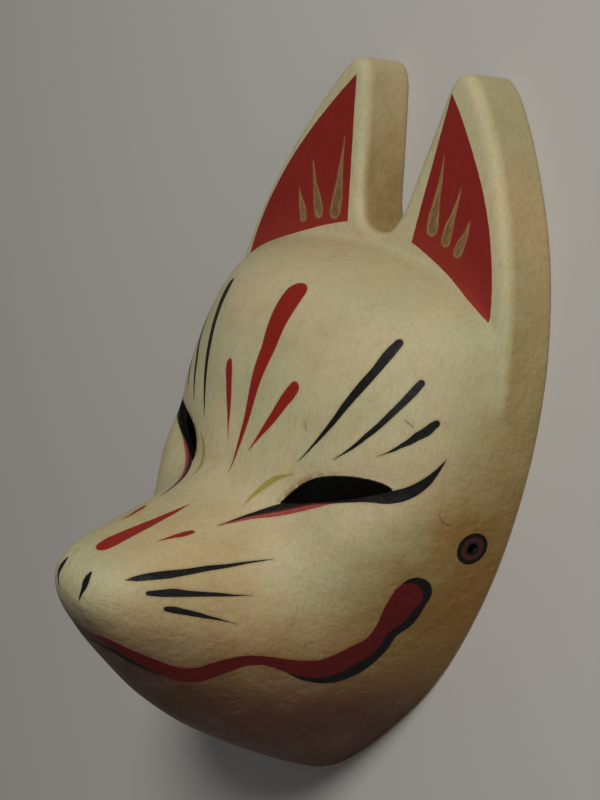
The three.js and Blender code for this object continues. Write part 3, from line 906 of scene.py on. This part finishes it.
def paintedPaper():
    skin = Finish("painted_paper")
    x, y, z = (axis / mm for axis in (skin.x, skin.y, skin.z))
    facing = skin.parts(skin.add("ShaderNodeTexCoord", output="Normal"))
    across = x.math("ABSOLUTE")

    # whitewash: broad patches, mottling, fibres that run up the face, specks
    patch = skin.between(skin.noise(whitewash["patch"], 3.0, 1.7), 0.38, 0.66)
    mottle = skin.noise(whitewash["mottle"], 4.0, 4.2)
    fibre = skin.noise(whitewash["fibre"], 3.0, 7.5)
    grain = skin.noise(whitewash["grain"], 2.0, 2.1)
    tint = skin.mix(patch * 0.9, whitewash["cream"], whitewash["greenCream"])
    tint = skin.mix(skin.between(mottle, 0.46, 0.78) * 0.4, tint, whitewash["warmStain"])
    fine = skin.noise(whitewash["fineMottle"], 5.0, 13.1)
    tint = skin.mix(skin.between(fine, 0.5, 0.8) * 0.4, tint, whitewash["warmStain"])
    pore = skin.noise(whitewash["pore"], 3.0, 25.6)
    for speck, low, high, share in (
        (fibre, 0.42, 0.72, 0.25), (grain, 0.54, 0.74, 0.3), (pore, 0.5, 0.7, 0.1),
    ):
        tint = skin.shade(skin.between(speck, low, high) * share, tint, whitewash["speck"])

    # brown toning and painted shade where the mask faces down or sideways, away from the key light; darkest
    # and greyest under the jaw
    cloud = skin.noise(whitewash["cloud"], 4.0, 9.3)
    drift = (skin.noise(whitewash["drift"], 2.0, 17.7) - 0.5) * 60
    # painted shade: darker where the surface turns away from the light above the ears
    turned = skin.between(facing[1] * 0.45 + facing[2] * 0.89, 0.85, -0.05)
    lowDown = skin.between(y + drift, 40.0, -60.0)
    jaw = skin.between(y + drift * 0.4, -62.0, -104.0)
    offX = across - whitewash["handledAt"][0]
    offY = y - whitewash["handledAt"][1]
    handled = (offX * offX + offY * offY).math("SQRT") + drift * 0.3
    handled = skin.between(handled, whitewash["handledReach"], -6.0)
    # painted shade on turned faces, added to real toning low down and where the mask is handled
    toneAndShade = (turned * (lowDown * 0.65 + 0.4) + lowDown * 0.04 + handled * 0.22) * (cloud * 1.3 + 0.35)
    tint = skin.shade(toneAndShade.math("MINIMUM", 1.0), tint, whitewash["toningAndShade"])
    # warm toning with painted shade on the side walls, which face sideways from the light
    wall = skin.between(facing[2], 0.75, 0.1) * skin.between(y, -78.0, -50.0)
    wall = wall * skin.between(y + drift, 170.0, 20.0) * (cloud * 0.6 + 0.7)
    tint = skin.shade(wall.math("MINIMUM", 1.0), tint, whitewash["wallToningAndShade"])
    # painted shade under the jaw and on faces turned down, laid as a grey-brown toning over real toning
    under = skin.between(facing[1], -0.15, -0.8)
    dim = ((jaw * 0.65 + under * 0.45) * (cloud * 0.8 + 0.6)).math("MINIMUM", 1.0)
    tint = skin.shade(dim, tint, whitewash["jawToningAndShade"])
    # painted shade with some stain in the fold between ears and crown and on the ears' inner walls
    fold = skin.parts(skin.attribute("earFold"))[0]
    innerWall = skin.between(across, 34.0, 22.0) * skin.between(facing[2], 0.75, 0.3)
    innerWall = innerWall * skin.between(y, 112.0, 84.0) * skin.between(y, 60.0, 76.0)
    foldStainAndShade = (fold * 0.1 + innerWall * (cloud * 1.1 + 0.05)).math("MINIMUM", 1.0)
    tint = skin.shade(foldStainAndShade, tint, whitewash["earStainAndShade"])

    # long pale hairs of paper showing on the jaw and cheeks
    bend = skin.noise((70 * mm, 48 * mm, 60 * mm), 0.0, 3.3)
    strand = (bend * 22).math("FRACT") - 0.5
    thread = skin.between(strand.math("ABSOLUTE"), 0.03, 0.01)
    thread = thread * skin.between(skin.noise(7 * mm, 1.0, 5.8), 0.6, 0.68) * (lowDown * 0.9)
    tint = skin.mix(thread * 0.32, tint, whitewash["hair"])

    # strips of paper wrapped round the rim
    edgeLine = skin.strips()[1]
    stripTop = whitewash["stripHeight"] / mm + (skin.noise(14 * mm, 2.0, 8.8) - 0.5) * 7
    onStrip = skin.between(z - stripTop, 0.5, -0.5)
    faint = skin.between(skin.noise(22 * mm, 2.0, 18.2), 0.42, 0.62)
    tint = skin.shade(onStrip * edgeLine * faint * 0.2, tint, whitewash["toningAndShade"])

    # lids: brown stain over the slit and black round it
    gap, over, along = skin.parts(skin.attribute("eyeEdge"))
    stain = skin.between(gap, 3.4, 0.5) * skin.between(over, -0.8, 0.8) * skin.between(along, 9.0, -9.0)
    stain = stain * skin.between(skin.noise(3 * mm, 3.0, 11.2), 0.3, 0.5)
    tint = skin.mix(stain * 0.85, tint, whitewash["lidStain"])
    lidBlack = skin.between(gap + (grain - 0.5) * 0.5, 0.75, 0.45)
    tint = skin.mix(lidBlack, tint, black)

    wobble = skin.noise(1.3 * mm, 2.0, 12.4) - 0.5
    rough = whitewash["roughness"] + (mottle - 0.5) * 0.25 + (grain - 0.5) * 0.12
    thick = lidBlack * 0.5

    # red panels in the ears
    onLeft = skin.between(x, -1.0, 1.0)
    apex, innerSlope = earPanel["apex"], earPanel["innerSlope"]
    apexX = onLeft * (apex["left"][0] - apex["right"][0]) + apex["right"][0]
    down = onLeft * (apex["left"][1] - apex["right"][1]) + apex["right"][1] - y
    slope = onLeft * (innerSlope["left"] - innerSlope["right"]) + innerSlope["right"]
    inner = across - apexX + down * slope
    outer = down * earPanel["outer"][0] + down * down * earPanel["outer"][1] + apexX - across
    over = across - earPanel["lowerFrom"]
    lower = y - earPanel["lower"][0] - over * earPanel["lower"][1] - over * over * earPanel["lower"][2]
    panel = inner.math("MINIMUM", outer * 0.8).math("MINIMUM", lower * 0.95)
    panel = panel.math("MINIMUM", z - 14) + wobble * 0.35
    inPanel = skin.between(panel, -0.12, 0.12)
    brushed = skin.noise((1.1 * mm, 26 * mm, 1.1 * mm), 3.0, 14.9)
    wear = skin.between(lower, 16.0, 1.0) * 0.45 + skin.between(brushed, 0.45, 0.75) * 0.2
    panelTint = skin.mix(wear, earPanel["red"], earPanel["worn"])
    tint = skin.mix(inPanel, tint, panelTint)

    # brush strokes, the black lines first
    for name in ("under", "over"):
        beyond, beside, half = (part / mm for part in skin.parts(skin.attribute(name + "Shape")))
        run, dry, seed = skin.parts(skin.attribute(name + "Run"))
        ink = skin.attribute(name + "Ink")
        beyond = beyond.math("MAXIMUM", 0.0)
        edge = (beyond * beyond + beside * beside).math("SQRT") - half
        edge = edge + wobble * (dry * 0.55 + 0.14)
        cover = skin.between(edge, 0.14, -0.14)
        halo = skin.between(edge, 1.1, 0.1) * 0.16
        lane = skin.add("ShaderNodeCombineXYZ", None, {0: run / mm, 1: beside * 14, 2: seed * 9})
        streak = skin.noise((5.0, 5.0, 5.0), 3.0, 15.1, lane)
        bare = skin.between(streak, 0.42, 0.64) * dry
        tint = skin.mix(halo * (1 - cover), tint, ink)
        worn = skin.mix(dry * dry, ink, whitewash["cream"])
        pooled = skin.between(edge, -0.1, -1.2) * skin.between(dry, 0.7, 0.75)
        pooled = pooled * skin.between(skin.noise((3.0, 3.0, 3.0), 3.0, 16.4, lane), 0.64, 0.4)
        laid = skin.shade(pooled * 0.85, skin.mix(bare * 0.7, ink, worn), goldShade)
        tint = skin.mix(cover, tint, laid)
        thick = thick + cover * (1 - bare)
        rough = rough - cover * 0.06

    # rings painted round the cord holes
    offY = y - up(form["cordHoleUp"]) / mm
    offZ = z - form["cordHoleOut"] / mm
    ring = (offY * offY + offZ * offZ).math("SQRT") + skin.between(across, 60.0, 50.0) * 99 + wobble * 0.4
    tint = skin.mix(skin.between(ring, cordRing["black"] + 0.15, cordRing["black"] - 0.15), tint, black)
    maroon = skin.between(ring, cordRing["maroon"] + 0.15, cordRing["maroon"] - 0.15)
    maroon = maroon * skin.between(ring, cordRing["inner"] - 0.3, cordRing["inner"] + 0.3)
    tint = skin.mix(maroon, tint, cordRing["colour"])

    # height in millimetres: creases in the paper, brushed whitewash, grain, paint and strips
    crease = skin.noise(whitewash["crease"], 4.0, 21.3)
    wrinkle = skin.noise(whitewash["wrinkle"], 3.0, 22.9)
    worked = (lowDown + wall).math("MINIMUM", 1.0)
    height = crease * (worked * 0.5 + 0.34) + wrinkle * (worked * cloud * 0.62 + 0.05) + fibre * 0.04
    height = height + pore * (worked * 0.2 + 0.09) + grain * 0.05 + thick * 0.03 + brushed * 0.02
    height = height + onStrip * faint * (edgeLine * 0.04 + 0.05) + thread * 0.04
    return skin.close(tint, rough, height)


innerPaper = {
    "paper": colour(0.30, 0.205, 0.115),
    "pale": colour(0.42, 0.315, 0.19),
    "glue": colour(0.15, 0.085, 0.04),
    "strip": (17 * mm, 34 * mm, 17 * mm),
}


def barePaper():
    skin = Finish("bare_paper")
    drift = skin.noise(30 * mm, 2.0, 1.1)
    warped = skin.vector("ADD", skin.vector("DIVIDE", skin.place, innerPaper["strip"]), drift)
    sockets = {"Vector": warped, "Scale": 1.0}
    cells = skin.add("ShaderNodeTexVoronoi", {"distance": "CHEBYCHEV"}, sockets, "Color")
    cell = skin.parts(cells)[0]
    edge = skin.add("ShaderNodeTexVoronoi", {"feature": "DISTANCE_TO_EDGE"}, sockets)
    seam = skin.between(edge, 0.05, 0.01)
    fibre = skin.noise((6 * mm, 0.7 * mm, 2 * mm), 4.0, 3.9)
    stain = skin.between(skin.noise(16 * mm, 4.0, 6.1), 0.48, 0.7)
    tint = skin.mix(cell * 0.75, innerPaper["paper"], innerPaper["pale"])
    tint = skin.mix(stain * 0.45, tint, innerPaper["glue"])
    tint = skin.mix(seam * 0.25, tint, innerPaper["glue"])
    tint = skin.mix(skin.between(fibre, 0.5, 0.75) * 0.3, tint, innerPaper["pale"])
    height = cell * 0.25 + fibre * 0.12 + skin.noise(5 * mm, 3.0, 2.2) * 0.3
    return skin.close(tint, 0.82 - stain * 0.25, height)


def wrappedEdge():
    skin = Finish("wrapped_edge")
    step, line = skin.strips()
    worn = skin.between(skin.noise(4 * mm, 4.0, 4.4), 0.45, 0.65)
    tint = skin.mix(worn, whitewash["warmStain"], innerPaper["pale"])
    tint = skin.shade(line * 0.5, tint, whitewash["toningAndShade"])
    height = step * 0.1 + skin.noise(2.5 * mm, 4.0, 1.4) * 0.25
    return skin.close(tint, 0.7 + worn * 0.1, height)


def blackEdge():
    skin = Finish("black_hole_edge")
    worn = skin.between(skin.noise(1.8 * mm, 4.0, 3.1), 0.56, 0.7)
    tint = skin.mix(worn * 0.5, black, colour(0.10, 0.075, 0.05))
    return skin.close(tint, 0.6 + worn * 0.2, skin.noise(1.2 * mm, 3.0, 5.0) * 0.2)


# Stores along the rim how far round it a face is, in metres
def storeRimRun(mesh):
    points, loops, faceOfLoop, starts = meshArrays(mesh)
    run = np.zeros(len(points))
    low = np.flatnonzero(points[:, 2] < form["earDepth"] + 4 * mm)
    for part in np.array_split(low, len(low) // 4000 + 1):
        gaps = ((points[part, None, :2] - rim[None]) ** 2).sum(axis=2)
        run[part] = gaps.argmin(axis=1) * division["rimStep"]
    corners = run[loops]
    highest = np.maximum.reduceat(corners, starts)[faceOfLoop]
    whole = rimCount * division["rimStep"]
    corners = np.where(highest - corners > whole / 2, corners + whole, corners)
    storeVectors(mesh, "rimRun", "CORNER", [corners] * 3)


# Stores how near each point is to an eye's slit and to the fold between ears and crown
def storeNearness(mesh):
    points = meshArrays(mesh)[0]
    outline = eyeOutline(1)
    loop = np.column_stack([outline, faceAndEar(outline[:, 0], outline[:, 1])])
    spots = points.copy()
    spots[:, 0] = np.abs(spots[:, 0])
    gap = np.full(len(points), 1.0)
    for part in partsInReach(spots, loop, 12 * mm):
        gap[part] = np.sqrt(((spots[part, None] - loop[None]) ** 2).sum(axis=2).min(axis=1))
    along, over = eyeCoordinates(spots[:, 0], spots[:, 1])
    storeVectors(mesh, "eyeEdge", "POINT", [gap / mm, over / mm, along / mm])
    face = faceHeight(spots[:, 0], spots[:, 1])
    fold = 1 - np.clip(np.abs(face - form["earDepth"]) / (7 * mm), 0, 1)
    fold *= (spots[:, 1] > up(0.62)) & (spots[:, 2] > 15 * mm)
    storeVectors(mesh, "earFold", "POINT", [fold] * 3)


def makeMask():
    mesh = maskMesh()
    rough = placeObject("fox_mask_form", mesh)
    bore = cordBore()
    cut = rough.modifiers.new("cord_holes", "BOOLEAN")
    cut.object = bore
    cut.solver = "EXACT"
    finishes = [paintedPaper(), barePaper(), wrappedEdge(), blackEdge()]
    for finish in finishes:
        mesh.materials.append(finish)
    bore.data.materials.append(finishes[3])
    tree, inputs = paperTree(finishes)
    laid = rough.modifiers.new("hand_laid_paper", "NODES")
    laid.node_group = tree
    for name, value in paperLaying.items():
        laid[inputs[name]] = value
    ready = rough.evaluated_get(bpy.context.evaluated_depsgraph_get())
    made = bpy.data.meshes.new_from_object(ready)
    made.name = "fox_mask"
    mask = placeObject("fox_mask", made)
    for old in (rough, bore):
        bpy.data.objects.remove(old)
    storeStrokes(made, "under", underLines)
    storeStrokes(made, "over", strokes)
    storeRimRun(made)
    storeNearness(made)
    made.shade_smooth()
    made.set_sharp_from_angle(angle=radians(50))
    return mask


mask = makeMask()
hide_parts("mask_shell")
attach(mask, "root")
print("mask:", len(mask.data.polygons), "faces, materials", [m.name for m in mask.data.materials])
print("stage 4: floor, light and camera")

view = {
    "place": (0.5341, 0.1087, 0.4670),
    "right": (0.5903180, 0.1989579, -0.7822662),
    "down": (0.2378208, -0.9689966, -0.0669843),
    "lens": 85.5,
}

floorMesh = bpy.data.meshes.new("floor")
floorMesh.from_pydata([(-6, -6, 0), (6, -6, 0), (6, 6, 0), (-6, 6, 0)], [], [(0, 1, 2, 3)])
floor = placeObject("floor", floorMesh)
floorPaint = newMaterial("pale_floor")
floorShader = floorPaint.node_tree.nodes["Principled BSDF"]
floorShader.inputs["Base Color"].default_value = (0.56, 0.545, 0.52, 1)
floorShader.inputs["Roughness"].default_value = 0.9
floorMesh.materials.append(floorPaint)

world = bpy.data.worlds.new("studio")
world.use_nodes = True
world.node_tree.nodes["Background"].inputs["Color"].default_value = (1, 0.99, 0.97, 1)
world.node_tree.nodes["Background"].inputs["Strength"].default_value = 0.09
bpy.context.scene.world = world
bpy.context.scene.view_settings.view_transform = "Standard"


def softLight(name, place, size, power, tint):
    data = bpy.data.lights.new(name, "AREA")
    data.shape = "DISK"
    data.size = size
    data.energy = power
    data.color = tint
    lamp = placeObject(name, data)
    lamp.location = place
    toMask = Vector((0, 0, 40 * mm)) - Vector(place)
    lamp.rotation_euler = toMask.to_track_quat("-Z", "Y").to_euler()


softLight("key_light", (0.5, 0.74, 1.02), 0.45, 10, (1, 0.97, 0.92))
softLight("fill_light", (1.0, 0.1, 0.5), 0.8, 0.7, (1, 0.98, 0.95))

cameraData = bpy.data.cameras.new("camera")
cameraData.lens = view["lens"]
cameraData.sensor_width = 36
cameraData.clip_start = 0.05
cameraData.clip_end = 20
camera = placeObject("camera", cameraData)
right = Vector(view["right"])
down = Vector(view["down"])
back = -right.cross(down)
turn = Matrix((right, -down, back)).transposed().to_4x4()
camera.matrix_world = Matrix.Translation(view["place"]) @ turn
bpy.context.scene.camera = camera
